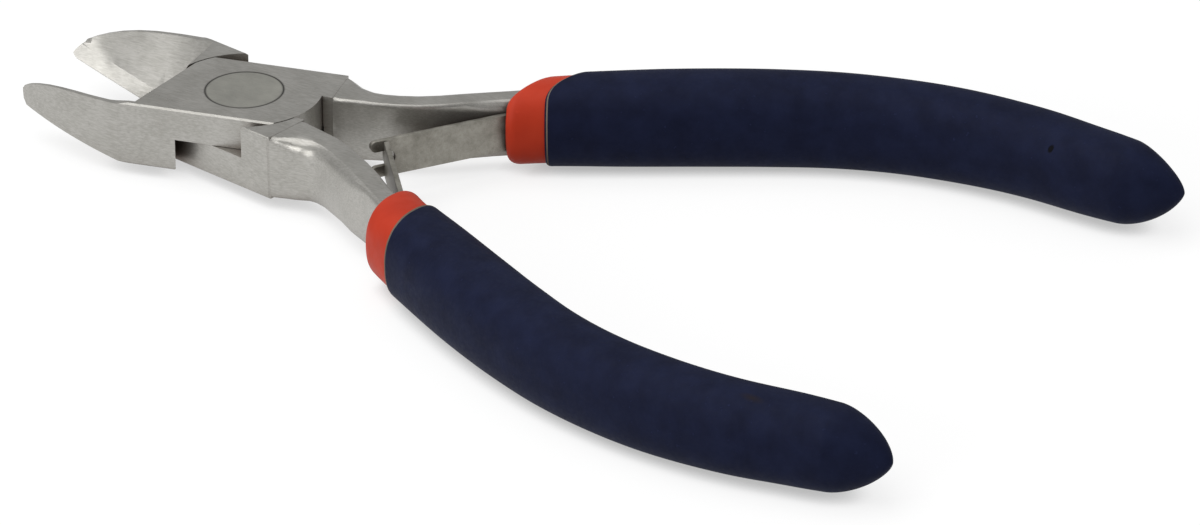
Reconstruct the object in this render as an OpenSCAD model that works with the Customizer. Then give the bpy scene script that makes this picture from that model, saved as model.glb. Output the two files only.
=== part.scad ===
// Small diagonal cutting pliers with a lap joint, a flush rivet, a double leaf
// spring and two-layer sleeves. The origin is on the rivet's axis, on the
// joint's underside. +X runs to the tips, +Z up, and the modelled pose is open.
// Each half is drawn closed, with its jaw at +Y and its handle at -Y, and is
// then swung open. The lower half is the mirrored one.

/* [Joint] */
// How far each half is swung open in the modelled pose, in degrees
half_open = 12; // [4:0.5:13]
// Height of the joint
joint_h = 6.95; // [5.6:0.05:8.4]
// Width of the joint across its flanks
joint_w = 12.4; // [11.4:0.1:13.6]
// Radius of the round lap plates
plate_r = 8.05; // [7.5:0.05:9]
// Gap between a lap plate's rim and the pocket that it turns in
rim_gap = 0.15; // [0.08:0.01:0.3]
// Gap between the two lap plates
lap_gap = 0.04; // [0.02:0.01:0.1]
// Chamfer along the joint's four long edges
flank_chamfer = 0.18; // [0.05:0.01:0.4]

/* [Rivet] */
// Radius of the rivet's visible head
head_r = 4; // [3.5:0.05:4.6]
// Thickness of the rivet's head
head_t = 1.2; // [0.8:0.05:1.8]
// Radius of the rivet's shank
shank_r = 2.5; // [1.8:0.05:3]
// Radius of the rivet's closed end
tail_r = 3.4; // [3.1:0.05:4]
// Thickness of the rivet's closed end
tail_t = 0.9; // [0.6:0.05:1.4]
// Running gap round and under the rivet
rivet_gap = 0.04; // [0.02:0.01:0.08]

/* [Jaws] */
// From the rivet's axis to the tips
jaw_reach = 24.8; // [22:0.1:28]
// How much shorter the upper half's jaw is ground
tip_short = 0.95; // [0:0.05:1.2]
// How far that jaw's tip is rounded off below
tip_round = 0.4; // [0.1:0.05:0.6]
// From the rivet's axis to where the jaw's outer side turns in
nose_start = 11.6; // [10.5:0.1:13]
// Angle at which the jaw's outer side turns in, in degrees
nose_turn = 14; // [8:0.5:20]
// Width of one jaw at its tip
tip_w = 0.25; // [0.1:0.05:0.6]
// Height of the cutting edge above the jaw's outer bottom edge
edge_rise = 0.2; // [0.1:0.05:0.5]
// Height of the tip's underside above the joint's underside
tip_lift = 2.45; // [1.6:0.05:3.2]
// From the rivet's axis to where the underside starts to rise
lift_start = 10.7; // [9:0.1:13]
// Width of the honed band beside the cutting edge
hone_w = 0.7; // [0.4:0.05:1.2]
// Height of that band
hone_rise = 1.45; // [0.6:0.05:1.8]
// Width of the flat land along the jaw's top
land_w = 0.62; // [0.3:0.02:1.2]
// From the rivet's axis to the ridge behind the hollow bevel
ridge_x = 8.1; // [7.9:0.05:9.4]
// Slope of that ridge across the jaw, as run over rise
ridge_lean = 0.3; // [0.1:0.01:0.5]
// Gap between each cutting edge and the middle when closed
edge_gap = 0.03; // [0.01:0.01:0.06]

/* [Handles] */
// From the rivet's axis to the end of the sleeves
handle_reach = 95.5; // [84:0.1:108]
// Greatest distance of a closed handle's line from the middle
handle_bow = 17.7; // [15.5:0.1:21]
// Width of the tang inside the sleeves
tang_w = 3; // [2.4:0.05:3.4]
// Length of the tang that the sleeves hold beyond their mouth
tang_len = 62; // [50:0.5:68]

/* [Sleeves] */
// From the rivet's axis to the mouth of the inner sleeve
mouth_reach = 26.15; // [24.5:0.05:27.5]
// How much further back the lower half's sleeves sit
sleeve_lag = 1.2; // [0:0.1:1.8]
// How far the outer side of each mouth falls back behind its inner side
mouth_skew = 1.6; // [0:0.1:2.5]
// How far the corners of the upper half's mouths are cut back on their outer side
mouth_cut = 3.1; // [0:0.1:3.5]
// The same cut on the lower half's mouths
lower_mouth_cut = 0.6; // [0:0.1:3.5]
// Length of the inner sleeve's collar that stays in view
collar_len = 3.5; // [2.5:0.1:4.5]
// How much longer that collar is on the lower half
collar_lag = 1.05; // [0:0.05:1.5]
// How much shorter the lower half's outer sleeve ends
end_lag = 0.2; // [0:0.1:1.5]
// Greatest width of the outer sleeve
grip_w = 8.8; // [8.4:0.05:11]
// Greatest height of the outer sleeve
grip_h = 9.85; // [9.4:0.05:12]
// How much higher the sleeves sit than the middle of the tang
grip_rise = 0.16; // [0:0.02:0.2]
// How far the outer sleeve stands out past the collar
collar_step = 0.32; // [0.15:0.01:0.5]
// Wall of the inner sleeve under the outer one
inner_wall = 0.5; // [0.35:0.01:0.6]
// Gap between layers that hug each other
layer_gap = 0.02; // [0.01:0.01:0.04]

/* [Springs] */
// Height of each leaf
leaf_h = 4.1; // [3:0.05:4.6]
// Thickness of each leaf
leaf_t = 0.55; // [0.4:0.01:0.7]
// From the rivet's axis to where the leaves cross
cross_reach = 16.7; // [15.5:0.1:18]
// Length of the fork beyond the crossing
fork_len = 1.75; // [1.3:0.05:2.4]
// Length of the fork's slot before the crossing
slot_back = 0.9; // [0.8:0.05:2]
// Height of the fork's slot
slot_h = 1.65; // [1.5:0.05:2.2]
// Height of the tongue
tongue_h = 1.15; // [0.8:0.05:1.3]
// Length of the tongue beyond the crossing
tongue_len = 0.9; // [0.6:0.05:1.6]
// Length of the foot under the sleeve
foot_len = 8.5; // [7:0.1:10]
// Radius of the leaf's rivet
pin_r = 0.8; // [0.5:0.05:1]
// Radius of that rivet's head
pin_head_r = 1.35; // [1.2:0.05:1.6]
// Thickness of that rivet's head
pin_head_t = 0.45; // [0.3:0.05:0.5]

/* [Hidden] */

steel = [0.62, 0.62, 0.59];
spring_steel = [0.5, 0.49, 0.46];
orange = [0.79, 0.26, 0.19];
navy = [0.12, 0.13, 0.21];

over = 1;
round_fn = 96;
ring_fn = 24;
half_h = joint_h / 2;
flank = joint_w / 2;
pocket_r = plate_r + rim_gap;

// Nose of the jaw in plan: one arc from the flank to the tip
nose_chord = norm([jaw_reach - nose_start, flank - tip_w]);
nose_chord_turn = atan2(flank - tip_w, jaw_reach - nose_start);
nose_r = nose_chord / (2 * sin(nose_chord_turn - nose_turn));
nose_end_turn = 2 * nose_chord_turn - nose_turn;

// Profile of the nose seen from the side, as shares of its length and height
nose_top_shares = [
    [-0.09, 1], [0.02, 0.92], [0.2, 0.885], [0.4, 0.84], [0.53, 0.785],
    [0.65, 0.7], [0.75, 0.59], [0.83, 0.47], [0.9, 0.33], [0.95, 0.17], [0.985, -0.01],
    [1, -0.15], [0.985, -0.21], [0.95, -0.28]
];

// Line of the closed handle, as shares of its reach and of its bow
handle_line_shares = [
    [0.087, 0.2], [0.107, 0.18], [0.146, 0.158], [0.188, 0.2],
    [0.23, 0.3], [0.272, 0.4], [0.314, 0.503], [0.387, 0.633], [0.46, 0.76],
    [0.533, 0.873], [0.607, 0.96], [0.681, 0.992], [0.753, 0.97], [0.827, 0.893],
    [0.9, 0.765], [0.974, 0.652], [1.04, 0.612]
];

// Width and height of the outer sleeve along its reach, as shares of the greatest
grip_w_shares = [
    [0.26, 0.885], [0.31, 0.92], [0.385, 0.975], [0.46, 0.99], [0.53, 0.957], [0.6, 0.904],
    [0.665, 0.868], [0.735, 0.861], [0.8, 0.863], [0.86, 0.862], [0.92, 0.83], [1, 0.74]
];
grip_h_shares = [
    [0.26, 0.928], [0.31, 0.954], [0.385, 0.979], [0.46, 0.994], [0.53, 1], [0.6, 0.995],
    [0.665, 0.986], [0.735, 0.975], [0.8, 0.945], [0.86, 0.918], [0.92, 0.884], [1, 0.786]
];
// How the outer sleeve closes over its last stretch: a pair of powers for its width
// and one for its height
end_w_powers = [1.05, 1.63];
end_h_powers = [1.7, 1.5];
end_steps = 9;
end_flat_share = 0.5;

// Width of the bare shank behind the joint, as shares of the tang's width
shank_w_shares = [
    [0.087, 1.75], [0.097, 1.68], [0.109, 1.52], [0.123, 1.3], [0.138, 1.15],
    [0.153, 1.12], [0.276, 1.12]
];
// How square the shank's outer side is: a high power is square, 2 is round
shank_top_power_shares = [[0.087, 14], [0.1, 6], [0.115, 3], [0.133, 2.3], [0.2, 2.4], [0.276, 2.6]];
shank_under_power_shares = [[0.087, 14], [0.1, 10], [0.115, 7], [0.133, 4.5], [0.276, 4.5]];
// How far the lower half's shank is set further out than the upper one's, as shares
// of the bow
shank_set_shares = [[0.106, 0], [0.124, 0.004], [0.146, 0.012], [0.188, 0.036], [0.23, 0.025], [0.276, 0]];
// Height of the shank as shares of the joint's: only its underside rises
shank_h_shares = [[0.087, 1], [0.12, 1], [0.155, 0.955], [0.2, 0.94], [0.276, 0.94]];
inner_side_power = 14;
tang_power = [5, 5, 5];
cavity_power = 8;
pocket_power = 3;
grip_power = [2.45, 2.45, 2.45];

// Stations of the shank and the tang, as shares of the handle's reach
shank_station_shares = [
    0.09, 0.098, 0.106, 0.115, 0.124, 0.134, 0.146, 0.163, 0.184, 0.205, 0.228
];
tang_station_shares = [
    -0.03, 0, 0.02, 0.04, 0.0575, 0.075, 0.107, 0.14, 0.195, 0.25, 0.34, 0.44, 0.54, 0.64,
    0.74, 0.84, 0.93, 1
];
// Stations of the hollow bevel between the nose's start and the tip
bevel_station_shares = [0, 0.1, 0.2, 0.32, 0.44, 0.56, 0.68, 0.78, 0.87, 0.94, 1];
// Stations of the outer sleeve between its mouth and its round end
grip_station_shares = [
    0, 0.04, 0.085, 0.14, 0.2, 0.26, 0.33, 0.4, 0.47, 0.54, 0.61, 0.68, 0.75, 0.82, 0.88, 0.94, 1
];
tang_taper_share = 0.72;
tang_h_share = 0.94;
leaf_pocket = leaf_t + pin_head_t + 4 * layer_gap;
pocket_end = mouth_reach + sleeve_lag + foot_len + leaf_t;
tang_end = mouth_reach + tang_len;
relief_w = 1.2;
wall_lean = 0.42;
shank_sink = 0.02;
edge_flat = 0.06;
land_taper_share = 0.6;
hollow_share = 0.55;
nose_steps = 16;
line_step_share = 0.0025;
shoulder_reach_share = 0.094;
root_in_share = 0.13;
foot_steps = 6;
bend_steps = 3;
pin_reach_share = 0.62;
pin_depth = 0.8 * tang_w;
mouth_fade = 11;
mouth_slack = 0.05;
cavity_cut_share = 0.65;
mouth_round = [0.8, 0.75];
lip_round = [0.3, 0.3];
grip_close_len = 6.3;
end_out = 0.25;
end_up = 0.14;
collar_overlap = 1;
collar_slope = 1.6;

// Value at x in a table of [x, value] pairs, on a smooth curve through them
function slope_at(t, i) =
    (t[min(i + 1, len(t) - 1)][1] - t[max(i - 1, 0)][1])
    / (t[min(i + 1, len(t) - 1)][0] - t[max(i - 1, 0)][0]);
function span_of(t, x, i = 0) = (i >= len(t) - 2 || x <= t[i + 1][0]) ? i : span_of(t, x, i + 1);
function smooth(t, x) =
    let (i = span_of(t, x), w = t[i + 1][0] - t[i][0], u = (x - t[i][0]) / w)
    t[i][1] * (1 + 2 * u) * pow(1 - u, 2)
    + slope_at(t, i) * w * u * pow(1 - u, 2)
    + t[i + 1][1] * u * u * (3 - 2 * u)
    - slope_at(t, i + 1) * w * u * u * (1 - u);

// The closed handle's line: how far it lies from the middle at a given reach
function line_at(reach) = handle_bow * smooth(handle_line_shares, reach / handle_reach);
function lean_at(reach) =
    let (d = handle_reach * line_step_share) atan((line_at(reach + d) - line_at(reach - d)) / (2 * d));

// A point beside the handle's line: u is towards the middle, v is up
function beside(reach, u, v) =
    let (a = lean_at(reach)) [-reach - u * sin(a), -line_at(reach) + u * cos(a), v];

function signed_pow(v, e) = sign(v) * pow(abs(v), e);

// A closed ring round the handle's line, as a superellipse. power holds one
// value for the inner side, one for the outer top and one for the outer underside.
// skew is how far the ring's inner side lies nearer the joint than its outer side,
// and cut is how far its outer corners fall back.
function ring(reach, w, h, power, shift = 0, skew = 0, rise = 0, cut = 0) = [
    for (i = [0:ring_fn - 1])
        let (
            t = 360 * i / ring_fn,
            p = cos(t) > 0 ? power[0] : sin(t) > 0 ? power[1] : power[2],
            across = signed_pow(cos(t), 2 / p),
            up = signed_pow(sin(t), 2 / p),
            corner = max(0, abs(up) - across)
        )
        beside(
            reach - skew * across / 2 + cut * corner * corner / 2,
            w / 2 * across + shift,
            h / 2 * up + rise
        )
];

function shank_w(reach) = tang_w * lookup(reach / handle_reach, shank_w_shares);
function shank_h(reach) = joint_h * lookup(reach / handle_reach, shank_h_shares);
function shank_power(reach) = [
    inner_side_power,
    lookup(reach / handle_reach, shank_top_power_shares),
    lookup(reach / handle_reach, shank_under_power_shares)
];

// The tang narrows evenly from the mouth to its end
function tang_taper(reach) =
    1 - (1 - tang_taper_share) * max(0, reach - pocket_end) / (tang_end - pocket_end);
function tang_w_at(reach) = tang_w * tang_taper(reach);
function tang_h_at(reach) = joint_h * tang_h_share * tang_taper(reach);
function pocket_at(reach) =
    leaf_pocket * min(1, max(0, (pocket_end + leaf_pocket - reach) / leaf_pocket));

// Outer sizes of the grip at a reach
function grip_w_at(reach) = grip_w * smooth(grip_w_shares, reach / handle_reach);
function grip_h_at(reach) = grip_h * smooth(grip_h_shares, reach / handle_reach);

tang_stations = [for (s = tang_station_shares) mouth_reach + s * tang_len];

// A closed skin through rings that all have the same number of points. swap splits
// each four-sided patch along its other diagonal.
module loft(rings, swap = false) {
    n = len(rings[0]);
    last = len(rings) - 1;
    patches = [for (k = [0:last - 1]) for (i = [0:n - 1])
        [k * n + i, k * n + (i + 1) % n, (k + 1) * n + (i + 1) % n, (k + 1) * n + i]];
    polyhedron(
        points = [for (r = rings) for (p = r) p],
        faces = concat(
            [[for (i = [n - 1:-1:0]) i]],
            [for (q = patches) swap ? [q[0], q[1], q[2]] : [q[0], q[1], q[3]]],
            [for (q = patches) swap ? [q[0], q[2], q[3]] : [q[1], q[2], q[3]]],
            [[for (i = [0:n - 1]) last * n + i]]
        )
    );
}

// Puts a closed half in its place: side 1 is the upper half, side -1 the lower
module place(side) {
    translate([0, 0, half_h])
        mirror([0, side < 0 ? 1 : 0, 0])
            rotate([0, 0, half_open])
                children();
}

// Plan outline of one jaw, from the joint to the tip
module jaw_plan() {
    polygon(concat(
        [[0, edge_gap], [0, flank], [nose_start, flank]],
        [for (i = [0:nose_steps])
            let (a = nose_turn + (nose_end_turn - nose_turn) * i / nose_steps)
            [
                nose_start + nose_r * (sin(a) - sin(nose_turn)),
                flank - nose_r * (cos(nose_turn) - cos(a))
            ]],
        [[jaw_reach, edge_gap]]
    ));
}

// Side profile of the joint and the jaw
module jaw_profile() {
    nose_len = jaw_reach - nose_start;
    polygon(concat(
        [[-over, -half_h], [lift_start, -half_h]],
        [for (i = [len(nose_top_shares) - 1:-1:0])
            [nose_start + nose_len * nose_top_shares[i][0], half_h * nose_top_shares[i][1]]],
        [[-over, half_h]]
    ));
}

// Height of the cutting edge, width of the outline and height of the top at a given x
function edge_z(x) = -half_h + edge_rise + tip_lift * (x - lift_start) / (jaw_reach - lift_start);
function nose_turn_at(x) = asin(sin(nose_turn) + max(0, x - nose_start) / nose_r);
function outer_y(x) = flank - nose_r * (cos(nose_turn) - cos(nose_turn_at(x)));
function top_share(x) = (x - nose_start) / (jaw_reach - nose_start);
function top_z(x) =
    half_h * (top_share(x) < nose_top_shares[0][0] ? 1 : lookup(top_share(x), nose_top_shares));

// The hollow bevel and the honed band: what is ground away inside the jaw's top
function bevel_ring(x, lean, wall) =
    let (
        e = edge_z(x + wall * (top_z(x) + half_h)),
        b = e + hone_rise,
        t = max(top_z(x), b + tip_w),
        land = land_w * (1 - land_taper_share * max(0, top_share(x))),
        l = max(hone_w + tip_w, outer_y(min(x, jaw_reach - tip_w)) - land),
        hollow = [hollow_share * l + (1 - hollow_share) * hone_w, (t + b) / 2]
    )
    [for (p = [
        [-plate_r, t + over], [l + over, t + over], [l, t], hollow,
        [edge_gap + hone_w, b], [edge_gap, e], [-plate_r, e]
    ])
        [x + lean * p[0] + wall * (t - p[1]), p[0], p[1]]];
module bevel_cut() {
    loft(concat(
        [bevel_ring(ridge_x, ridge_lean, wall_lean)],
        [for (s = bevel_station_shares)
            bevel_ring(nose_start + over + s * (jaw_reach - nose_start), 0, 0)]
    ));
}

// Sloping relief under the cutting edge. It leaves a narrow flat at the edge.
module relief_cut() {
    run = jaw_reach - lift_start;
    drop = edge_rise - edge_flat;
    translate([lift_start, 0, -half_h])
        rotate([0, -atan(tip_lift / run), 0])
            translate([-over, 0, 0])
                rotate([90, 0, 90])
                    linear_extrude(run + tip_lift + 2 * over)
                        polygon([
                            [-over, drop * (1 + over / relief_w)], [relief_w, 0],
                            [relief_w, -over], [-over, -over]
                        ]);
}

// Grinds one jaw's tip back and rounds it off below
module tip_cut() {
    t = tip_round;
    translate([jaw_reach - tip_short, 0, edge_z(jaw_reach)])
        rotate([90, 0, 0])
            linear_extrude(2 * flank, center = true)
                polygon([
                    [tip_short + over, joint_h], [0, joint_h], [0, 2.5 * t],
                    [-0.15 * t, 0.85 * t], [-t, -0.6 * t], [-3 * t, -3 * t],
                    [tip_short + over, -3 * t]
                ]);
}

// Block of the joint with its four long edges chamfered
module flank_block(x0, x1) {
    f = flank - flank_chamfer;
    h = half_h - flank_chamfer;
    translate([x0, 0, 0])
        rotate([90, 0, 90])
            linear_extrude(x1 - x0)
                polygon([
                    [f, half_h], [flank, h], [flank, -h], [f, -half_h],
                    [-f, -half_h], [-flank, -h], [-flank, h], [-f, half_h]
                ]);
}

// Full-height root of the shank, behind the joint
module root_plan() {
    s = shoulder_reach_share * handle_reach;
    polygon([
        [0, -flank], [-s, -flank],
        [-s - flank_chamfer, -line_at(s) - shank_w(s) / 2],
        [-s - flank_chamfer, -line_at(s) + shank_w(s) / 2],
        [-plate_r * cos(asin(root_in_share)), -plate_r * root_in_share],
        [0, -plate_r * root_in_share]
    ]);
}

// One closed forging. up is 1 when its lap plate is the top one, else -1
module forging(up, lag) {
    difference() {
        union() {
            intersection() {
                flank_block(-plate_r - over, plate_r + over);
                translate([0, 0, up > 0 ? lap_gap / 2 : -half_h])
                    cylinder(r = plate_r, h = half_h - lap_gap / 2, $fn = round_fn);
            }
            intersection() {
                flank_block(0, jaw_reach + over);
                translate([0, 0, -half_h]) linear_extrude(joint_h) jaw_plan();
                translate([0, flank + over, 0])
                    rotate([90, 0, 0])
                        linear_extrude(joint_w + 2 * over)
                            jaw_profile();
            }
            intersection() {
                flank_block(-handle_reach, 0);
                translate([0, 0, -half_h]) linear_extrude(joint_h) root_plan();
            }
            shank_and_tang(up < 0 ? handle_bow : 0);
        }
        translate([0, 0, up > 0 ? -half_h - over : -lap_gap / 2])
            cylinder(r = pocket_r, h = half_h + over + lap_gap / 2, $fn = round_fn);
        bevel_cut();
        relief_cut();
        if (up > 0)
            tip_cut();
        pin_hole(lag);
    }
}

// set is the length that the shares of the lower shank's offset are taken of
module shank_and_tang(set) {
    loft(concat(
        [for (s = shank_station_shares)
            let (r = s * handle_reach)
            ring(r, shank_w(r), shank_h(r) - 2 * shank_sink, shank_power(r),
                -set * lookup(s, shank_set_shares), 0, (joint_h - shank_h(r)) / 2)],
        [for (r = tang_stations) ring(r, tang_w_at(r), tang_h_at(r), tang_power)]
    ));
}

// The leaf lies on the tang's inner face, then runs straight to the crossing
leaf_u = tang_w / 2 + layer_gap + leaf_t / 2;
cross_point = [-cross_reach * cos(half_open), cross_reach * sin(half_open)];
function plan(p) = [p[0], p[1]];
function bend_point(lag) = plan(beside(mouth_reach + lag - leaf_t, leaf_u, 0));
function leaf_run(lag) = norm(cross_point - bend_point(lag));
function leaf_dir(lag) = (cross_point - bend_point(lag)) / leaf_run(lag);

function leaf_line(beyond, lag) = concat(
    [for (i = [0:foot_steps - 1])
        let (reach = mouth_reach + lag + foot_len - foot_len * i / (foot_steps - 1))
        plan(beside(reach, leaf_u, 0))],
    [for (i = [1:bend_steps]) bend_point(lag) + leaf_dir(lag) * leaf_t * i],
    [cross_point + leaf_dir(lag) * beyond]
);

// A strip of even thickness along a line of plan points
module strip(line, t) {
    last = len(line) - 1;
    sides = [for (i = [0:last])
        let (
            d = line[min(i + 1, last)] - line[max(i - 1, 0)],
            n = [-d[1], d[0]] / norm(d) * t / 2
        )
        [line[i] + n, line[i] - n]];
    polygon(concat([for (s = sides) s[0]], [for (i = [last:-1:0]) sides[i][1]]));
}

// Straight end of a leaf, seen square on: x runs along it from the crossing
module fork_outline() {
    prong_h = (leaf_h - slot_h) / 2;
    translate([-mouth_reach, -leaf_h / 2])
        square([mouth_reach - slot_back, leaf_h]);
    difference() {
        translate([-slot_back - over, -leaf_h / 2])
            square([slot_back + over + fork_len - prong_h / 2, leaf_h]);
        translate([-slot_back + slot_h / 2, -slot_h / 2])
            square([slot_back + fork_len, slot_h]);
        translate([-slot_back + slot_h / 2, 0])
            circle(d = slot_h, $fn = round_fn);
    }
    for (side = [-1, 1])
        translate([fork_len - prong_h / 2, side * (slot_h + prong_h) / 2])
            circle(d = prong_h, $fn = round_fn);
}

module tongue_outline() {
    shoulder = leaf_t / sin(2 * half_open + 90) + layer_gap;
    translate([-mouth_reach, -leaf_h / 2])
        square([mouth_reach - shoulder, leaf_h]);
    translate([-shoulder - over, -tongue_h / 2])
        square([shoulder + over + tongue_len - tongue_h / 2, tongue_h]);
    translate([tongue_len - tongue_h / 2, 0])
        circle(d = tongue_h, $fn = round_fn);
}

module leaf(beyond, lag) {
    dir = leaf_dir(lag);
    difference() {
        intersection() {
            translate([0, 0, -leaf_h])
                linear_extrude(2 * leaf_h)
                    strip(leaf_line(beyond, lag), leaf_t);
            translate([cross_point[0], cross_point[1], 0])
                rotate([0, 0, atan2(dir[1], dir[0])])
                    translate([0, mouth_reach, 0])
                        rotate([90, 0, 0])
                            linear_extrude(2 * mouth_reach)
                                children();
        }
        pin_hole(lag);
    }
}

// The leaf's rivet stands square on the tang's inner face
module on_tang(u, lag) {
    reach = mouth_reach + lag + pin_reach_share * foot_len;
    translate(beside(reach, u, 0))
        rotate([0, 90, 90 + lean_at(reach)])
            children();
}
module pin_hole(lag) {
    on_tang(tang_w / 2 - pin_depth - layer_gap, lag)
        cylinder(r = pin_r + layer_gap, h = pin_depth + leaf_pocket, $fn = round_fn);
}
module pin(lag) {
    seat = tang_w / 2 + 2 * layer_gap + leaf_t;
    on_tang(tang_w / 2 - pin_depth, lag)
        cylinder(r = pin_r, h = pin_depth + seat - tang_w / 2 + pin_head_t / 2, $fn = round_fn);
    on_tang(seat, lag)
        cylinder(r = pin_head_r, h = pin_head_t, $fn = round_fn);
}

// Sections of the sleeves. A mouth is given as its reach and its corners' cut, and
// both its skew and its cut fade out behind it.
function fade(reach, mouth) = max(0, 1 - max(0, reach - mouth[0]) / mouth_fade);
// The cavity hugs the tang and the leaf's foot
function cavity_ring(reach, wall, mouth) =
    let (
        r = min(reach, tang_end),
        pocket = pocket_at(r),
        f = fade(reach, mouth),
        room = wall + mouth_slack * f,
        inner = cavity_power + (pocket_power - cavity_power) * pocket / leaf_pocket
    )
    ring(reach, tang_w_at(r) + pocket + 2 * room, tang_h_at(r) + 2 * room,
        [inner, cavity_power, cavity_power], pocket / 2, mouth_skew * f, 0,
        cavity_cut_share * mouth[1] * f);
function outer_ring(reach, inset, mouth) =
    let (f = fade(reach, mouth))
    ring(reach, grip_w_at(reach) - 2 * inset, grip_h_at(reach) - 2 * inset,
        grip_power, 0, mouth_skew * f, grip_rise, mouth[1] * f);

outer_lag = sleeve_lag + collar_lag;
collar_run = collar_overlap + collar_slope;
hidden_start = mouth_reach + collar_len + collar_run + outer_lag + over;
hidden_stations = [for (r = tang_stations) if (r > hidden_start) r];
round_turns = [12, 38, 64, 90];

// Surface between the two sleeves, from the mouth of the outer one to its end
function layer_rings(mouth, grow) = concat(
    [
        outer_ring(mouth[0] + collar_overlap, collar_step - grow, mouth),
        cavity_ring(mouth[0] + collar_run, layer_gap + inner_wall + grow, mouth)
    ],
    [for (r = hidden_stations) cavity_ring(r, layer_gap + inner_wall + grow, mouth)],
    [cavity_ring(tang_end + 2 * layer_gap + inner_wall + grow, layer_gap + inner_wall + grow, mouth)]
);
function reversed(v) = [for (i = [len(v) - 1:-1:0]) v[i]];

// Rings of a rounded mouth, from its front edge back to its full size
function mouth_rings(mouth, inset, size) = [for (a = round_turns)
    outer_ring(mouth[0] + size[0] * (1 - cos(a)), inset + size[1] * (1 - sin(a)), mouth)];

// How much is left of a width or a height at a share of the sleeve's last stretch
function left_at(s, powers) = pow(1 - pow(s, powers[0]), 1 / powers[1]);
function end_ring(start, s) =
    let (r = start + grip_close_len * s)
    ring(r, grip_w_at(r) * left_at(s, end_w_powers), grip_h_at(r) * left_at(s, end_h_powers),
        grip_power, -end_out * s * s, 0, grip_rise + end_up * s * s);

module inner_sleeve(mouth, outer_mouth) {
    loft(concat(
        [cavity_ring(tang_end + layer_gap, layer_gap, mouth)],
        [for (r = reversed(tang_stations))
            if (r > mouth[0] + mouth_skew) cavity_ring(r, layer_gap, mouth)],
        [cavity_ring(mouth[0], layer_gap, mouth)],
        mouth_rings(mouth, collar_step, mouth_round),
        [outer_ring(outer_mouth[0], collar_step, outer_mouth)],
        layer_rings(outer_mouth, 0)
    ));
}

module outer_sleeve(mouth, short) {
    close_start = handle_reach - grip_close_len - short;
    body_start = mouth[0] + lip_round[0];
    loft(concat(
        reversed(layer_rings(mouth, layer_gap)),
        [outer_ring(mouth[0], collar_step - layer_gap, mouth)],
        mouth_rings(mouth, 0, lip_round),
        [for (s = grip_station_shares)
            if (s > 0) outer_ring(body_start + s * (close_start - body_start), 0, mouth)],
        [for (k = [1:end_steps])
            end_ring(close_start, sin(90 * k / (end_steps + end_flat_share)))]
    ), true);
}

module upper_half() {
    color(steel)
        place(1)
            difference() {
                forging(1, 0);
                rivet_bore(1);
            }
}

module lower_half() {
    color(steel)
        place(-1)
            difference() {
                forging(-1, sleeve_lag);
                rivet_bore(-1);
            }
}

// Bores for the rivet, with a seat for its head or for its closed end
module rivet_bore(up) {
    z = up > 0 ? half_h - head_t : -half_h - over;
    translate([0, 0, -half_h - over])
        cylinder(r = shank_r + rivet_gap, h = joint_h + 2 * over, $fn = round_fn);
    translate([0, 0, z])
        cylinder(
            r = (up > 0 ? head_r : tail_r) + rivet_gap,
            h = up > 0 ? head_t + over : tail_t + over,
            $fn = round_fn
        );
}

module pivot_rivet() {
    color(steel)
        rotate_extrude($fn = round_fn)
            polygon([
                [0, 0], [tail_r, 0], [tail_r, tail_t - rivet_gap], [shank_r, tail_t - rivet_gap],
                [shank_r, joint_h - head_t + rivet_gap], [head_r, joint_h - head_t + rivet_gap],
                [head_r, joint_h], [0, joint_h]
            ]);
}

module fork_leaf() {
    color(spring_steel) place(1) leaf(fork_len, 0) fork_outline();
}

module tongue_leaf() {
    color(spring_steel) place(-1) leaf(tongue_len, sleeve_lag) tongue_outline();
}

module fork_leaf_rivet() {
    color(spring_steel) place(1) pin(0);
}

module tongue_leaf_rivet() {
    color(spring_steel) place(-1) pin(sleeve_lag);
}

module upper_inner_sleeve() {
    color(orange)
        place(1)
            inner_sleeve([mouth_reach, mouth_cut], [mouth_reach + collar_len, mouth_cut]);
}

module lower_inner_sleeve() {
    mouth = mouth_reach + sleeve_lag;
    color(orange)
        place(-1)
            inner_sleeve(
                [mouth, lower_mouth_cut],
                [mouth + collar_len + collar_lag, lower_mouth_cut]
            );
}

module upper_outer_sleeve() {
    color(navy) place(1) outer_sleeve([mouth_reach + collar_len, mouth_cut], 0);
}

module lower_outer_sleeve() {
    color(navy)
        place(-1)
            outer_sleeve([mouth_reach + collar_len + outer_lag, lower_mouth_cut], end_lag);
}

upper_half();
lower_half();
pivot_rivet();
fork_leaf();
tongue_leaf();
fork_leaf_rivet();
tongue_leaf_rivet();
upper_inner_sleeve();
lower_inner_sleeve();
upper_outer_sleeve();
lower_outer_sleeve();
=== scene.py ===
"""Small diagonal cutting pliers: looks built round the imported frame.

Metres, +X to the tips, +Z up along the rivet.
"""

import math

import bmesh
import bpy
import numpy as np
from mathutils import Matrix, Vector
from mathutils.geometry import delaunay_2d_cdt


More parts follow.
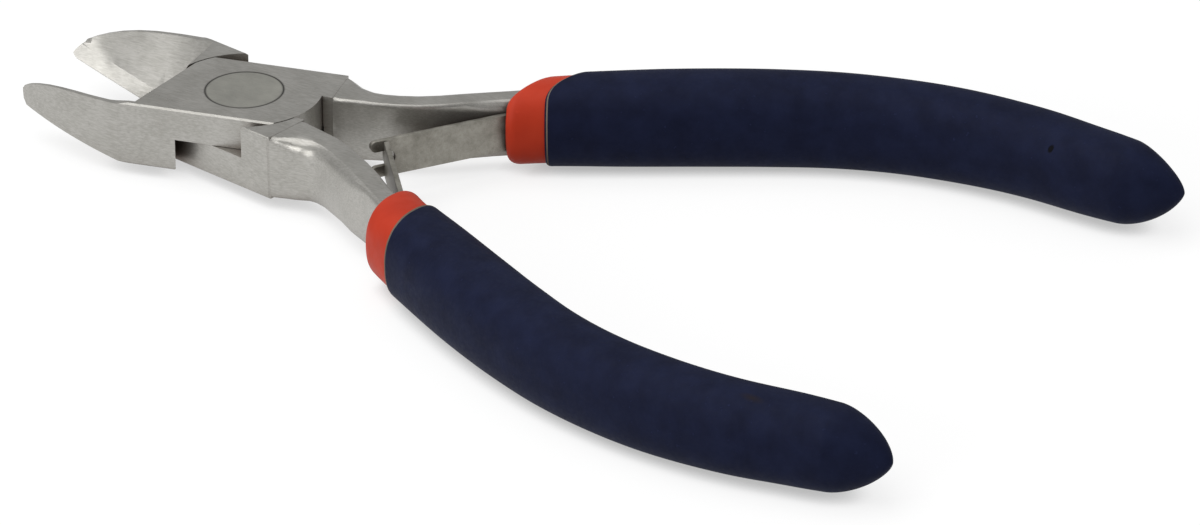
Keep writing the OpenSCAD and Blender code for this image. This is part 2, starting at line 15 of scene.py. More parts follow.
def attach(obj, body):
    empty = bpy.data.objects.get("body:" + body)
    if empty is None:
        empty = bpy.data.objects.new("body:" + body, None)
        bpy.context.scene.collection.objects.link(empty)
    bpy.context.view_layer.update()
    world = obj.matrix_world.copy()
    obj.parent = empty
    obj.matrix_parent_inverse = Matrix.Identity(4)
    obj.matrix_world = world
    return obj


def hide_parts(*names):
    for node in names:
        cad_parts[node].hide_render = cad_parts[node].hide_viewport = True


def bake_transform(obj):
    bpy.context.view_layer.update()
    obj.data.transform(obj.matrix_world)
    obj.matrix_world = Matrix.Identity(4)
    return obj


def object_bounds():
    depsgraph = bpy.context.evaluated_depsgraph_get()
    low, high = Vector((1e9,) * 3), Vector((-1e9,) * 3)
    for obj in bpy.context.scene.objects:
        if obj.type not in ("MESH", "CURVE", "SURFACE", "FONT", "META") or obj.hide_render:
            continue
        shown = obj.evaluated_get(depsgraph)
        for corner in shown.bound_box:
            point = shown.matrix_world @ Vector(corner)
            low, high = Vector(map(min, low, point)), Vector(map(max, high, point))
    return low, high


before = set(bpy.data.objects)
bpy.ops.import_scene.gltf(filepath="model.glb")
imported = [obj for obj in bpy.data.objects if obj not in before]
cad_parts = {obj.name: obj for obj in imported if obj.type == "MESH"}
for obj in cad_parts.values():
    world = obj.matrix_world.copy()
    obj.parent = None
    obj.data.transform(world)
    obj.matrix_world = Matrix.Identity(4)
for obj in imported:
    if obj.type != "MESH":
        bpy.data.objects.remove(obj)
cad_low, cad_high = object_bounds()
MM = 0.001

# ---------------------------------------------------------------- sizes
# All in millimetres, as the moulded and sprung pieces share them with the forgings.
# A reach is a distance from the rivet back along a closed handle.
HALF_OPEN = math.radians(12)
JOINT_H = 6.95
HALF_H = JOINT_H / 2
HEAD_R = 4.0
HANDLE_REACH = 95.5
HANDLE_BOW = 17.7
TANG_W = 3.0

# Sleeves: the lower ones sit further back than the upper ones by the lags
MOUTH_REACH = 26.15
SLEEVE_LAG = 1.2
COLLAR_LEN = 3.5
COLLAR_LAG = 1.05
END_LAG = 0.2
MOUTH_SKEW = 1.6
MOUTH_CUT = {"upper": 3.1, "lower": 0.6}
MOUTH_FADE = 11.0
GRIP_W = 8.8
GRIP_H = 9.85
GRIP_RISE = 0.16
GRIP_POWER = 2.45
COLLAR_STEP = 0.32

# The closing end of a navy sleeve: its length, the powers of its width's and height's
# curves, and how far its tip lies outwards and up
CLOSE_LEN = 6.3
END_W_POWERS = (1.05, 1.63)
END_H_POWERS = (1.7, 1.5)
END_OUT = 0.25
END_UP = 0.14

# Spring leaves
LEAF_H = 4.1
LEAF_T = 0.55
CROSS_REACH = 16.7
FORK_LEN = 1.75
SLOT_BACK = 0.9
SLOT_H = 1.65
TONGUE_H = 1.15
TONGUE_LEN = 0.9
FOOT_LEN = 8.5
LAYER_GAP = 0.02

# By share of the handle's reach: how far out its line lies, in bows, and how wide and
# high the sleeves are, as shares of their full size
LINE = [
    (0.087, 0.2), (0.107, 0.18), (0.146, 0.158), (0.188, 0.2), (0.23, 0.3), (0.272, 0.4),
    (0.314, 0.503), (0.387, 0.633), (0.46, 0.76), (0.533, 0.873), (0.607, 0.96), (0.681, 0.992),
    (0.753, 0.97), (0.827, 0.893), (0.9, 0.765), (0.974, 0.652), (1.04, 0.612),
]
WIDTH = [
    (0.26, 0.885), (0.31, 0.92), (0.385, 0.975), (0.46, 0.99), (0.53, 0.957), (0.6, 0.904),
    (0.665, 0.868), (0.735, 0.861), (0.8, 0.863), (0.86, 0.862), (0.92, 0.83), (1.0, 0.74),
]
HEIGHT = [
    (0.26, 0.928), (0.31, 0.954), (0.385, 0.979), (0.46, 0.994), (0.53, 1.0), (0.6, 0.995),
    (0.665, 0.986), (0.735, 0.975), (0.8, 0.945), (0.86, 0.918), (0.92, 0.884), (1.0, 0.786),
]


# ---------------------------------------------------------------- lines and sections
def smooth(table, x):
    """Value at x on a smooth curve through a table of points."""
    last = len(table) - 1
    i = 0
    while i < last - 1 and x > table[i + 1][0]:
        i += 1

    def slope(k):
        before, after = table[max(k - 1, 0)], table[min(k + 1, last)]
        return (after[1] - before[1]) / (after[0] - before[0])

    (x0, y0), (x1, y1) = table[i], table[i + 1]
    w = x1 - x0
    u = (x - x0) / w
    return (
        y0 * (1 + 2 * u) * (1 - u) ** 2 + slope(i) * w * u * (1 - u) ** 2
        + y1 * u * u * (3 - 2 * u) - slope(i + 1) * w * u * u * (1 - u)
    )


def line_at(reach):
    return HANDLE_BOW * smooth(LINE, reach / HANDLE_REACH)


# Half the stretch over which the line's lean is measured
LEAN_STEP = HANDLE_REACH / 400


def lean_at(reach):
    return math.atan2(line_at(reach + LEAN_STEP) - line_at(reach - LEAN_STEP), 2 * LEAN_STEP)


def beside(reach, u, v):
    """Point beside a closed handle's line: u is towards the middle and v is up."""
    lean = lean_at(reach)
    return (-reach - u * math.sin(lean), -line_at(reach) + u * math.cos(lean), v)


def placed(p, side):
    """A point of a closed half, in its open place, in metres. side is 1 for the upper half."""
    c, s = math.cos(HALF_OPEN), math.sin(HALF_OPEN)
    return (
        (c * p[0] - s * p[1]) * MM,
        side * (s * p[0] + c * p[1]) * MM,
        (p[2] + HALF_H) * MM,
    )


def signed_pow(v, e):
    return math.copysign(abs(v) ** e, v)


# Points round a sleeve's section
AROUND = 96
# Where a section's corner measure stops growing, so that the whole outer side of a mouth
# falls back about as far as its corners do
CORNER_LIMIT = 1.55


def ring(reach, w, h, power=GRIP_POWER, shift=0.0, skew=0.0, rise=0.0, cut=0.0):
    """Closed section round a handle's line. cut lets its outer corners fall back."""
    points = []
    for i in range(AROUND):
        turn = 2 * math.pi * i / AROUND
        across = signed_pow(math.cos(turn), 2 / power)
        up = signed_pow(math.sin(turn), 2 / power)
        corner = min(CORNER_LIMIT, max(0.0, max(abs(up), -across) - across))
        points.append(beside(
            reach - skew * across / 2 + cut * corner * corner / 2,
            w / 2 * across + shift,
            h / 2 * up + rise,
        ))
    return points


def grip_w(reach):
    return GRIP_W * smooth(WIDTH, reach / HANDLE_REACH)


def grip_h(reach):
    return GRIP_H * smooth(HEIGHT, reach / HANDLE_REACH)


def outer_ring(reach, inset, mouth):
    """Section of a sleeve. mouth is the reach of its mouth and its corners' cut."""
    fade = max(0.0, 1 - max(0.0, reach - mouth[0]) / MOUTH_FADE)
    return ring(
        reach, grip_w(reach) - 2 * inset, grip_h(reach) - 2 * inset,
        skew=MOUTH_SKEW * fade, rise=GRIP_RISE, cut=mouth[1] * fade,
    )


def new_object(name, bm):
    """Object that takes a bmesh's faces, shaded smooth, and frees it."""
    mesh = bpy.data.meshes.new(name)
    bm.to_mesh(mesh)
    bm.free()
    for f in mesh.polygons:
        f.use_smooth = True
    obj = bpy.data.objects.new(name, mesh)
    bpy.context.scene.collection.objects.link(obj)
    return obj


def loft(name, rings, side):
    """A closed skin through rings of equal count."""
    bm = bmesh.new()
    rows = [[bm.verts.new(placed(p, side)) for p in r] for r in rings]
    for a, b in zip(rows, rows[1:]):
        for i in range(AROUND):
            j = (i + 1) % AROUND
            bm.faces.new((a[i], a[j], b[j], b[i]))
    for row in (rows[0], rows[-1]):
        middle = bm.verts.new(sum((v.co for v in row), Vector()) / AROUND)
        for i in range(AROUND):
            bm.faces.new((row[i], row[(i + 1) % AROUND], middle))
    bmesh.ops.recalc_face_normals(bm, faces=bm.faces)
    return new_object(name, bm)


# ---------------------------------------------------------------- materials
class Nodes:
    """Short calls for building one material's node tree."""

    def __init__(self, name):
        self.material = bpy.data.materials.new(name)
        self.material.use_nodes = True
        self.tree = self.material.node_tree
        self.tree.nodes.clear()
        self.out = self.add("ShaderNodeOutputMaterial")
        self.shader = self.add("ShaderNodeBsdfPrincipled")
        self.link(self.shader.outputs[0], self.out.inputs["Surface"])

    def add(self, kind, **values):
        """A node with its own settings and, by socket name, its unlinked inputs."""
        node = self.tree.nodes.new(kind)
        for key, value in values.items():
            if hasattr(node, key):
                setattr(node, key, value)
            else:
                node.inputs[key.replace("_", " ")].default_value = value
        return node

    def link(self, a, b):
        self.tree.links.new(a, b)

    def coords(self, scale=(1, 1, 1)):
        place = self.add("ShaderNodeTexCoord")
        mapping = self.add("ShaderNodeMapping", Scale=scale)
        self.link(place.outputs["Object"], mapping.inputs["Vector"])
        return mapping.outputs[0]

    def noise(self, scale, detail, rough, vector):
        node = self.add("ShaderNodeTexNoise", Scale=scale, Detail=detail, Roughness=rough)
        self.link(vector, node.inputs["Vector"])
        return node.outputs["Fac"]

    def ramp(self, value, low, high, a=0.0, b=1.0):
        """Value's run from low to high, made to run from a to b."""
        node = self.add("ShaderNodeMapRange", From_Min=low, From_Max=high, To_Min=a, To_Max=b)
        self.link(value, node.inputs["Value"])
        return node.outputs[0]

    def maths(self, operation, *values):
        """Result of a sum whose terms are links or numbers."""
        node = self.add("ShaderNodeMath", operation=operation)
        for socket, value in zip(node.inputs, values):
            if isinstance(value, (int, float)):
                socket.default_value = value
            else:
                self.link(value, socket)
        return node.outputs[0]

    def length(self, vector):
        node = self.add("ShaderNodeVectorMath", operation="LENGTH")
        self.link(vector, node.inputs[0])
        return node.outputs["Value"]

    def mix(self, factor, a, b):
        """Colour a where the factor is 0 and b where it is 1; each is a tuple or a link."""
        node = self.add("ShaderNodeMix", data_type="RGBA")
        for key, value in (("A", a), ("B", b)):
            socket = [s for s in node.inputs if s.name == key and s.type == "RGBA"][0]
            if isinstance(value, tuple):
                socket.default_value = (*value, 1)
            else:
                self.link(value, socket)
        self.link(factor, node.inputs[0])
        return [s for s in node.outputs if s.type == "RGBA"][0]

    def bump(self, height, strength, distance, normal=None):
        node = self.add("ShaderNodeBump", Strength=strength, Distance=distance)
        self.link(height, node.inputs["Height"])
        if normal is not None:
            self.link(normal, node.inputs["Normal"])
        return node.outputs[0]

    def spot(self, at, turn, half, edge):
        """0 inside an ellipsoid and 1 outside. It starts to fade at edge, a share of its size."""
        mapping = self.add(
            "ShaderNodeMapping", vector_type="TEXTURE",
            Location=tuple(v * MM for v in at), Rotation=turn, Scale=tuple(v * MM for v in half),
        )
        self.link(self.coords(), mapping.inputs["Vector"])
        return self.ramp(self.length(mapping.outputs[0]), edge, 1.0)

    def finish(self, color=None, roughness=None, normal=None, **values):
        """Links what varies and sets what is the same all over."""
        for key, socket in (("Base Color", color), ("Roughness", roughness), ("Normal", normal)):
            if socket is not None:
                self.link(socket, self.shader.inputs[key])
        for key, value in values.items():
            self.shader.inputs[key.replace("_", " ")].default_value = value
        return self.material


def linear(r, g, b):
    """sRGB bytes to linear colour."""
    return tuple(
        v / 12.92 if v <= 0.04045 else ((v + 0.055) / 1.055) ** 2.4
        for v in (r / 255, g / 255, b / 255)
    )


def tinted(color, *shares):
    """A colour times one share, or times a share for each channel."""
    return tuple(k * v for k, v in zip(shares * (3 // len(shares)), color))


# The part of a noise's range that its values mostly lie in
NOISE_RUN = (0.3, 0.7)
# Fineness of the steel's streaks, along X and across, and of its pits, the streaks' share
# in its tone and shine, and the depth of both in metres
STREAK_SCALE, STREAK_STRETCH = 900, (1, 9, 9)
STREAK_SHARE = 0.12
PIT_SCALE = 2600
GRAIN_DEPTH = 0.00002
# Less than 1, as the ground surface is dulled
STEEL_METALLIC = 0.78
# How far the dark of a seam reaches to each side: full to here, gone at there
SEAM_DARK = (0.03, 0.2)
# Painted shade in nooks: how near other metal darkens the colour, in metres, and what it leaves of
# each channel
PAINTED_SHADE_REACH = 0.0045
PAINTED_SHADE_TINT = (0.4, 0.33, 0.3)


def steel(name, dark, light, rough, grain, mottle, seam=0.0, blot=260):
    """Ground steel: fine streaks along X, cloudy tone, small pits and painted shade in nooks.

    seam is the radius of a dark ring round the rivet's axis, or 0 for none.
    """
    n = Nodes(name)
    cloud = n.noise(blot, 5, 0.65, n.coords())
    streak = n.noise(STREAK_SCALE, 3, 0.6, n.coords(STREAK_STRETCH))
    pits = n.noise(PIT_SCALE, 2, 0.5, n.coords())
    streaky = n.ramp(streak, *NOISE_RUN, -STREAK_SHARE * grain, STREAK_SHARE * grain)
    tone = n.maths("MULTIPLY_ADD", cloud, mottle * 2, streaky)
    color = n.mix(n.ramp(tone, 0.5 * mottle, 1.5 * mottle), dark, light)
    color = n.mix(n.ramp(pits, 0.3, 0.36, 0.82, 1.0), tinted(dark, 0.55), color)
    if seam:
        off = n.maths("SUBTRACT", n.length(n.coords((1, 1, 0))), seam * MM)
        near = n.ramp(n.maths("ABSOLUTE", off), *(v * MM for v in SEAM_DARK))
        color = n.mix(near, tinted(dark, 0.3), color)
    # Painted shade: the colour darkens where other geometry is near, in place of the shade in
    # nooks
    painted_nook_shade = n.add("ShaderNodeAmbientOcclusion", Distance=PAINTED_SHADE_REACH, samples=6)
    color = n.mix(n.ramp(painted_nook_shade.outputs["AO"], 0.15, 0.8), tinted(dark, *PAINTED_SHADE_TINT), color)
    roughness = n.ramp(cloud, *NOISE_RUN, rough - 0.06, rough + 0.08)
    normal = n.bump(streak, STREAK_SHARE * grain, GRAIN_DEPTH)
    normal = n.bump(pits, 0.1, GRAIN_DEPTH, normal)
    return n.finish(color, roughness, normal, Metallic=STEEL_METALLIC)


def plastic(name, dark, light, rough, fineness, grain, depth, gloss,
            speckle=1.7, blot=160, marks=()):
    """Moulded soft plastic: slight cloudiness, a fine grain and the small marks of use.

    fineness, grain and depth are the grain's scale, strength and depth in metres, speckle
    the brightness of its grains, and blot the scale of the cloudiness.
    """
    n = Nodes(name)
    cloud = n.noise(blot, 4, 0.5, n.coords())
    fine = n.noise(fineness, 3, 0.6, n.coords())
    color = n.mix(n.ramp(cloud, 0.32, 0.68), dark, light)
    bright = tuple(speckle * v + 0.004 for v in light)
    color = n.mix(n.ramp(fine, 0.66, 0.74, 0.0, 0.5), color, bright)
    roughness = n.ramp(fine, *NOISE_RUN, rough - 0.05, rough + 0.07)
    normal = n.bump(fine, grain, depth)
    for at, turn, half, edge, tint, sunk in marks:
        sound = n.spot(at, turn, half, edge)
        color = n.mix(sound, tint, color)
        if sunk:
            normal = n.bump(sound, 0.6, sunk, normal)
    return n.finish(color, roughness, normal, Specular_IOR_Level=gloss)


FORGED = steel(
    "ground_steel", linear(163, 161, 155), linear(184, 182, 177), 0.33, 1.0, 0.2, HEAD_R
)
PIVOT = steel(
    "pivot_steel", linear(154, 153, 146), linear(182, 181, 172), 0.36, 0.6, 0.5, HEAD_R
)
BLUNT = steel("rivet_steel", linear(156, 154, 147), linear(178, 176, 168), 0.36, 0.6, 0.2)
STRIP = steel(
    "spring_strip", linear(120, 117, 108), linear(176, 173, 164), 0.48, 0.4, 0.5, blot=700
)
# Marks of use: where, how turned, half size, start of the fade, colour and depth in metres
# A real nick in the foam, sunk by a bump; its near-black colour is painted shade inside it
NICK_WITH_PAINTED_SHADE = (
    (-77.4, -28.4, 6.57), (0.482, -0.943, -2.238), (0.52, 0.34, 0.6), 0.6,
    linear(4, 4, 10), 0.0001,
)
SMUDGE = (
    (-76.84, 32.99, 8.0), (0.48, -0.051, 3.02), (1.5, 0.6, 1.5), 0.1, linear(35, 31, 39), 0,
)
ORANGE = plastic(
    "orange_plastic", linear(188, 52, 26), linear(204, 63, 36), 0.5, 900, 0.1, 0.00002, 0.2,
    speckle=1.05,
)
NAVY = plastic(
    "navy_plastic", linear(18, 23, 46), linear(25, 31, 57), 0.62, 2200, 0.25, 0.00004, 0.1,
    blot=420, marks=(NICK_WITH_PAINTED_SHADE, SMUDGE),
)
CORE = plastic(
    "foam_core", linear(96, 88, 78), linear(130, 118, 104), 0.8, 1800, 0.2, 0.00003, 0.2
)


def dress(obj, material):
    obj.data.materials.clear()
    obj.data.materials.append(material)


# ---------------------------------------------------------------- forgings and rivets
# Least angle of an edge that stays sharp, behind and ahead of the joint's back corners,
# and the places in X between which the one gives way to the other
SHARP_BEHIND, SHARP_AHEAD = math.radians(40), math.radians(13)
SHARP_CHANGE = (-7.4 * MM, -7.2 * MM)
# Points nearer than this are one, in metres
JOIN = 1e-6
# Edges that are turned further than this are broken, by these widths
BREAK_ANGLE = math.radians(22)
HALF_BREAK, RIVET_BREAK = 0.045, 0.04
# How much more a large face counts than a small one in the shading, of 100
FLATNESS = 90


def crease_group():
    """Keeps small breaks crisp ahead of the shanks, and only large ones behind."""
    tree = bpy.data.node_groups.new("creases", "GeometryNodeTree")
    for way in ("INPUT", "OUTPUT"):
        tree.interface.new_socket("Geometry", in_out=way, socket_type="NodeSocketGeometry")
    start, stop = tree.nodes.new("NodeGroupInput"), tree.nodes.new("NodeGroupOutput")
    place = tree.nodes.new("GeometryNodeInputPosition")
    split = tree.nodes.new("ShaderNodeSeparateXYZ")
    limit = tree.nodes.new("ShaderNodeMapRange")
    for key, number in zip(
        ("From Min", "From Max", "To Min", "To Max"),
        (*SHARP_CHANGE, SHARP_BEHIND, SHARP_AHEAD),
    ):
        limit.inputs[key].default_value = number
    angle = tree.nodes.new("GeometryNodeInputMeshEdgeAngle")
    sharp = tree.nodes.new("FunctionNodeCompare")
    sharp.data_type, sharp.operation = "FLOAT", "GREATER_THAN"
    mark = tree.nodes.new("GeometryNodeSetShadeSmooth")
    mark.domain = "EDGE"
    mark.inputs["Shade Smooth"].default_value = False
    for a, b in (
        (place.outputs[0], split.inputs[0]), (split.outputs["X"], limit.inputs["Value"]),
        (angle.outputs["Unsigned Angle"], sharp.inputs[0]), (limit.outputs[0], sharp.inputs[1]),
        (start.outputs[0], mark.inputs["Geometry"]), (sharp.outputs[0], mark.inputs["Selection"]),
        (mark.outputs[0], stop.inputs[0]),
    ):
        tree.links.new(a, b)
    return tree


CREASES = crease_group()


def soften(obj, width):
    """Joins the CAD surface's split points, breaks its sharp edges and shades it."""
    weld = obj.modifiers.new("join", "WELD")
    weld.merge_threshold = JOIN
    bevel = obj.modifiers.new("edges", "BEVEL")
    bevel.width = width * MM
    bevel.segments = 2
    bevel.limit_method = "ANGLE"
    bevel.angle_limit = BREAK_ANGLE
    creases = obj.modifiers.new("creases", "NODES")
    creases.node_group = CREASES
    even = obj.modifiers.new("flats", "WEIGHTED_NORMAL")
    even.weight = FLATNESS
    even.keep_sharp = True
    for f in obj.data.polygons:
        f.use_smooth = True


for node, material, width in (
    ("upper_half", FORGED, HALF_BREAK), ("lower_half", FORGED, HALF_BREAK),
    ("pivot_rivet", PIVOT, RIVET_BREAK), ("fork_leaf_rivet", BLUNT, RIVET_BREAK),
    ("tongue_leaf_rivet", BLUNT, RIVET_BREAK),
):
    dress(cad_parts[node], material)
    soften(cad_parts[node], width)

# ---------------------------------------------------------------- sleeves
# Length and depth of a lip's rounding
COLLAR_LIP = (0.8, 0.75)
GRIP_LIP = (0.3, 0.28)
LIP_ANGLES = (90, 75, 60, 45, 30, 15, 0)
# Height of the space in a collar's mouth, and its two sections: how far in, how much wider
# than the tang and higher than the space, power, shift towards the middle, and shares of
# the mouth's skew and cut
SPACE_H = JOINT_H * 0.94
SPACE_SECTIONS = (
    (2.6, 0.0, 0.0, 5, 0.3, 0, 0.6),
    (0.6, 1.6, 0.1, 4, 0.5, 1, 0.8),
)
# Collar sections behind its lip, and those hidden in the navy sleeve, from its mouth
COLLAR_SECTIONS = (1.4, 2.1, 2.8)
HIDDEN_SECTIONS = (1.1, 2.2, 3.3)
HIDDEN_END, HIDDEN_STEP = 3.4, 0.5
# The navy sleeve's mouth: how far in and how far below its surface its hidden sections lie
TUCKED = ((1.0, COLLAR_STEP), (0.1, COLLAR_STEP - 0.03))
# Start of its even sections, how many there are, and the closing end's
GRIP_START = 0.45
GRIP_STEPS = 120
END_STEPS = 43
# The last section lies this far short of the tip, in steps
END_SHORT = 0.6
# Eases the closing end in, so that it has no crease where it starts
END_EASE = 0.07
# Which bands of a navy sleeve's lip show the undyed core, by side
CORE_BANDS = {1: (6, 8), -1: (5, 9)}


def lip(mouth, inset, long, deep):
    """Rounded edge of a mouth, from its front back to the full size."""
    return [
        outer_ring(
            mouth[0] + long * (1 - math.sin(math.radians(a))),
            inset + deep * (1 - math.cos(math.radians(a))),
            mouth,
        )
        for a in LIP_ANGLES
    ]


def inner_sleeve(name, side, mouth, length):
    rings = [
        ring(
            mouth[0] + depth, TANG_W + wider, SPACE_H + higher, power, shift,
            skew=MOUTH_SKEW * skew, cut=mouth[1] * cut,
        )
        for depth, wider, higher, power, shift, skew, cut in SPACE_SECTIONS
    ]
    rings += lip(mouth, COLLAR_STEP, *COLLAR_LIP)
    rings += [outer_ring(mouth[0] + k, COLLAR_STEP, mouth) for k in (*COLLAR_SECTIONS, length)]
    back = mouth[0] + length
    rings += [outer_ring(back + k, COLLAR_STEP, mouth) for k in HIDDEN_SECTIONS]
    rings += [outer_ring(back + HIDDEN_END, COLLAR_STEP + HIDDEN_STEP, mouth)]
    return loft(name, rings, side)


def outer_sleeve(name, side, mouth, short):
    start = HANDLE_REACH - CLOSE_LEN - short
    first = mouth[0] + GRIP_START
    rings = [outer_ring(mouth[0] + depth, inset, mouth) for depth, inset in TUCKED]
    rings += lip(mouth, 0, *GRIP_LIP)
    rings += [
        outer_ring(first + (start - first) * i / GRIP_STEPS, 0, mouth)
        for i in range(GRIP_STEPS + 1)
    ]
    for i in range(1, END_STEPS + 1):
        s = math.sin(math.pi / 2 * i / (END_STEPS + END_SHORT))
        reach = start + CLOSE_LEN * s
        eased = s * s / (s + END_EASE * (1 - s))
        w, h = ((1 - eased ** p[0]) ** (1 / p[1]) for p in (END_W_POWERS, END_H_POWERS))
        rings.append(ring(
            reach, grip_w(reach) * w, grip_h(reach) * h,
            shift=-END_OUT * s * s, rise=GRIP_RISE + END_UP * s * s,
        ))
    obj = loft(name, rings, side)
    dress(obj, NAVY)
    # The cut edge of the foam shows its undyed core
    obj.data.materials.append(CORE)
    first_band, end_band = CORE_BANDS[side]
    for f in obj.data.polygons:
        if first_band * AROUND <= f.index < end_band * AROUND:
            f.material_index = 1
    return obj


for name, side, lag, collar_lag, short in (
    ("upper", 1, 0.0, 0.0, 0.0), ("lower", -1, SLEEVE_LAG, COLLAR_LAG, END_LAG)
):
    length = COLLAR_LEN + collar_lag
    collar = inner_sleeve(name + "_collar", side, (MOUTH_REACH + lag, MOUTH_CUT[name]), length)
    dress(collar, ORANGE)
    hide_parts(name + "_inner_sleeve")
    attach(collar, name)
    grip = outer_sleeve(name + "_grip", side, (MOUTH_REACH + lag + length, MOUTH_CUT[name]), short)
    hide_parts(name + "_outer_sleeve")
    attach(grip, name)

# ---------------------------------------------------------------- spring leaves
LEAF_U = TANG_W / 2 + LAYER_GAP + LEAF_T / 2
CROSS = Vector((-CROSS_REACH * math.cos(HALF_OPEN), CROSS_REACH * math.sin(HALF_OPEN)))
# Steps along a leaf's foot, and points along its free run
FOOT_STEPS = 20
RUN_POINTS = 26
# Rows of points inside a leaf's outline
INSIDE_ROWS = np.linspace(-1.4, 1.4, 5)
# How far the shaped end keeps the plain edge's points and the inside points away
EDGE_CLEAR, SLOT_CLEAR = 0.3, 0.6
# Rounding of a leaf's rims, and the angles of a rim and of an edge that stays sharp
RIM_ROUND = 0.09
RIM_ANGLE, LEAF_SHARP = math.radians(60), math.radians(35)
# A point this near the leaf's middle line is on it, and points this near each other are one
ON_LINE, ONE_POINT = 1e-6, 1e-5
# Slack for rounding where a place along the leaf is looked up
ROUNDING = 1e-9
# Keeps only the triangles inside the outline
INSIDE_ONLY = 1


def leaf_path(lag):
    """Plan line of a closed half's leaf, from its foot to the crossing, and its last direction."""
    bend = Vector(beside(MOUTH_REACH + lag - LEAF_T, LEAF_U, 0)[:2])
    along = (CROSS - bend).normalized()
    points = [
        Vector(beside(MOUTH_REACH + lag + FOOT_LEN * (1 - i / FOOT_STEPS), LEAF_U, 0)[:2])
        for i in range(FOOT_STEPS + 1)
    ]
    points += [bend + along * d for d in np.linspace(LEAF_T, (CROSS - bend).length, RUN_POINTS)]
    return points, along


def arc(x, y, radius, start, stop, steps):
    return [
        (x + radius * math.cos(math.radians(a)), y + radius * math.sin(math.radians(a)))
        for a in np.linspace(start, stop, steps + 1)
    ]


def fork_end():
    """Upper half of the fork's outline, from its edge to the slot, x from the crossing."""
    prong = (LEAF_H - SLOT_H) / 2
    y = (SLOT_H + prong) / 2
    return arc(FORK_LEN - prong / 2, y, prong / 2, 90, -90, 10) + arc(
        -SLOT_BACK + SLOT_H / 2, 0, SLOT_H / 2, 90, 180, 8
    )


def tongue_end():
    """Upper half of the tongue's outline, from its shoulder to its tip."""
    shoulder = LEAF_T / math.cos(2 * HALF_OPEN) + LAYER_GAP
    return [(-shoulder, LEAF_H / 2), (-shoulder, TONGUE_H / 2)] + arc(
        TONGUE_LEN - TONGUE_H / 2, 0, TONGUE_H / 2, 90, 0, 8
    )


def leaf(name, side, lag, end):
    """A strip with a shaped end, cut into short lengths that follow its bent plan line."""
    path, along = leaf_path(lag)
    lengths = [0.0]
    for a, b in zip(path, path[1:]):
        lengths.append(lengths[-1] + (b - a).length)
    total = lengths[-1]
    xs = [d - total for d in lengths]
    top = [(x, LEAF_H / 2) for x in xs if x < end[0][0] - EDGE_CLEAR] + end
    outline = top + [(x, -y) for x, y in reversed(top) if abs(y) > ON_LINE]
    inside = [(x, y) for x in xs[1:] if x < -SLOT_BACK - SLOT_CLEAR for y in INSIDE_ROWS]
    count = len(outline)
    points, _, faces = delaunay_2d_cdt(
        [Vector(p) for p in outline + inside], [(i, (i + 1) % count) for i in range(count)],
        [], INSIDE_ONLY, ONE_POINT,
    )[:3]

    def at(x, y, t):
        """Point x along the leaf from the crossing, y up it and t off its middle."""
        d = x + total
        if d >= total:
            p, direction = CROSS + along * x, along
        else:
            k = max(i for i, v in enumerate(lengths) if v <= max(d, 0) + ROUNDING)
            k = min(k, len(path) - 2)
            direction = (path[k + 1] - path[k]).normalized()
            p = path[k] + direction * (d - lengths[k])
        q = p + Vector((-direction.y, direction.x)) * t
        return placed((q.x, q.y, y), side)

    bm = bmesh.new()
    back, front = (
        [bm.verts.new(at(v.x, v.y, t)) for v in points] for t in (-LEAF_T / 2, LEAF_T / 2)
    )
    for f in faces:
        bm.faces.new([back[i] for i in f])
        bm.faces.new([front[i] for i in reversed(f)])
    edges = [(f[i], f[(i + 1) % len(f)]) for f in faces for i in range(len(f))]
    known = set(edges)
    for a, b in edges:
        if (b, a) not in known:
            bm.faces.new((back[a], back[b], front[b], front[a]))
    bmesh.ops.recalc_face_normals(bm, faces=bm.faces)
    rims = [e for e in bm.edges if len(e.link_faces) == 2 and e.calc_face_angle(0) > RIM_ANGLE]
    bmesh.ops.bevel(
        bm, geom=rims, offset=RIM_ROUND * MM, segments=2, profile=0.6, affect="EDGES"
    )
    obj = new_object(name, bm)
    obj.data.set_sharp_from_angle(angle=LEAF_SHARP)
    dress(obj, STRIP)
    return obj


for name, node, side, lag, end in (
    ("fork_spring", "fork_leaf", 1, 0.0, fork_end()),
    ("tongue_spring", "tongue_leaf", -1, SLEEVE_LAG, tongue_end()),
):
    spring = leaf(name, side, lag, end)
    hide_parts(node)
    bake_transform(spring)

# ---------------------------------------------------------------- floor and light
FLOOR_HALF = 3.0
FLOOR_BASE = (0.3, 0.3, 0.3, 1)
# What the floor glows by itself, in the open and right beside the object, and how near
# beside is, in metres: this gives a tight contact shadow
FLOOR_GLOW, CONTACT_GLOW = 0.76, 0.42
CONTACT_REACH = 0.0024
WORLD_LEVEL = (0.46, 0.46, 0.46, 1)

floor_z = cad_low.z
floor_mesh = bpy.data.meshes.new("floor")
floor_mesh.from_pydata(
    [(x * FLOOR_HALF, y * FLOOR_HALF, floor_z) for x, y in ((-1, -1), (1, -1), (1, 1), (-1, 1))],
    [], [(0, 1, 2, 3)],
)
floor = bpy.data.objects.new("floor", floor_mesh)
bpy.context.scene.collection.objects.link(floor)
white = Nodes("floor_white")
white.finish(Roughness=0.9, Base_Color=FLOOR_BASE, Specular_IOR_Level=0.0)
rays = white.add("ShaderNodeLightPath")
seen = white.maths("MAXIMUM", rays.outputs["Is Camera Ray"], rays.outputs["Is Glossy Ray"])
contact = white.add("ShaderNodeAmbientOcclusion", Distance=CONTACT_REACH, samples=8)
open_share = white.ramp(contact.outputs["AO"], 0.12, 0.58, CONTACT_GLOW, FLOOR_GLOW)
glow = white.add("ShaderNodeEmission")
white.link(white.maths("MULTIPLY", seen, open_share), glow.inputs["Strength"])
both = white.add("ShaderNodeAddShader")
white.link(white.shader.outputs[0], both.inputs[0])
white.link(glow.outputs[0], both.inputs[1])
white.link(both.outputs[0], white.out.inputs["Surface"])
dress(floor, white.material)

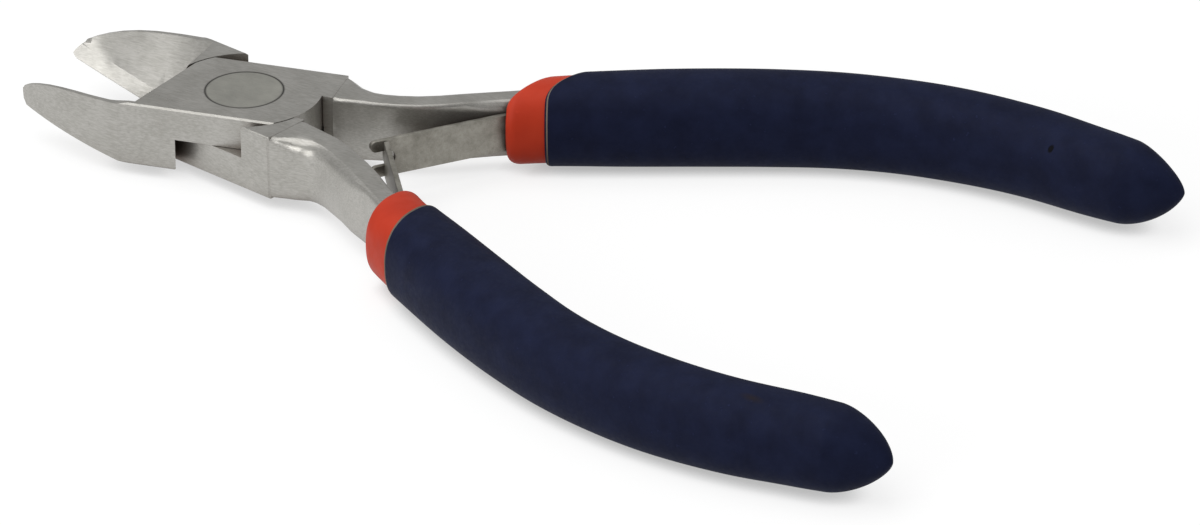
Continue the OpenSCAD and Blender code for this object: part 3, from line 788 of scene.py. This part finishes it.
world = bpy.data.worlds.new("studio")
bpy.context.scene.world = world
world.use_nodes = True
background = world.node_tree.nodes["Background"]
background.inputs["Strength"].default_value = 1.0
background.inputs["Color"].default_value = WORLD_LEVEL


def lamp(name, place, target, width, height, power):
    """A white rectangle of light that faces its target."""
    data = bpy.data.lights.new(name, "AREA")
    data.shape = "RECTANGLE"
    data.size = width
    data.size_y = height
    data.energy = power
    obj = bpy.data.objects.new(name, data)
    bpy.context.scene.collection.objects.link(obj)
    obj.location = place
    obj.rotation_euler = (Vector(target) - Vector(place)).to_track_quat("-Z", "Y").to_euler()


lamp("top", (0.145, 0.13, 0.6), (-0.03, 0, 0), 0.7, 0.6, 2.1)
lamp("front", (0.05, 0.7, 0.28), (-0.03, 0, 0), 0.3, 0.2, 0.8)
lamp("side", (0.44, 0.535, 0.17), (0.0, 0, 0), 0.34, 0.2, 0.72)

# ---------------------------------------------------------------- camera
# Fitted to the photograph: direction, the point aimed at and its distance in millimetres,
# and the focal length in the photograph's pixels
AZIMUTH, ELEVATION, ROLL = math.radians(209.831), math.radians(28.36), math.radians(-0.528)
AIM = Vector((-46.823, 9.325, 3.575))
DISTANCE = 837.393
FOCAL_PX, WIDTH_PX = 8496.713, 1200
SENSOR = 36
NEAREST, FURTHEST = 0.01, 50

level_back = Vector((math.sin(AZIMUTH), -math.cos(AZIMUTH), 0)) * math.cos(ELEVATION)
back = level_back + Vector((0, 0, math.sin(ELEVATION)))
level_right = Vector((math.cos(AZIMUTH), math.sin(AZIMUTH), 0))
level_up = back.cross(level_right)
right = level_right * math.cos(ROLL) + level_up * math.sin(ROLL)
up = level_up * math.cos(ROLL) - level_right * math.sin(ROLL)
camera_data = bpy.data.cameras.new("camera")
camera_data.sensor_width = SENSOR
camera_data.lens = FOCAL_PX / WIDTH_PX * SENSOR
camera_data.clip_start = NEAREST
camera_data.clip_end = FURTHEST
camera = bpy.data.objects.new("camera", camera_data)
bpy.context.scene.collection.objects.link(camera)
turn = Matrix((right, up, back)).transposed().to_4x4()
camera.matrix_world = Matrix.Translation((AIM + back * DISTANCE) * MM) @ turn
bpy.context.scene.camera = camera
bpy.context.scene.view_settings.view_transform = "Standard"
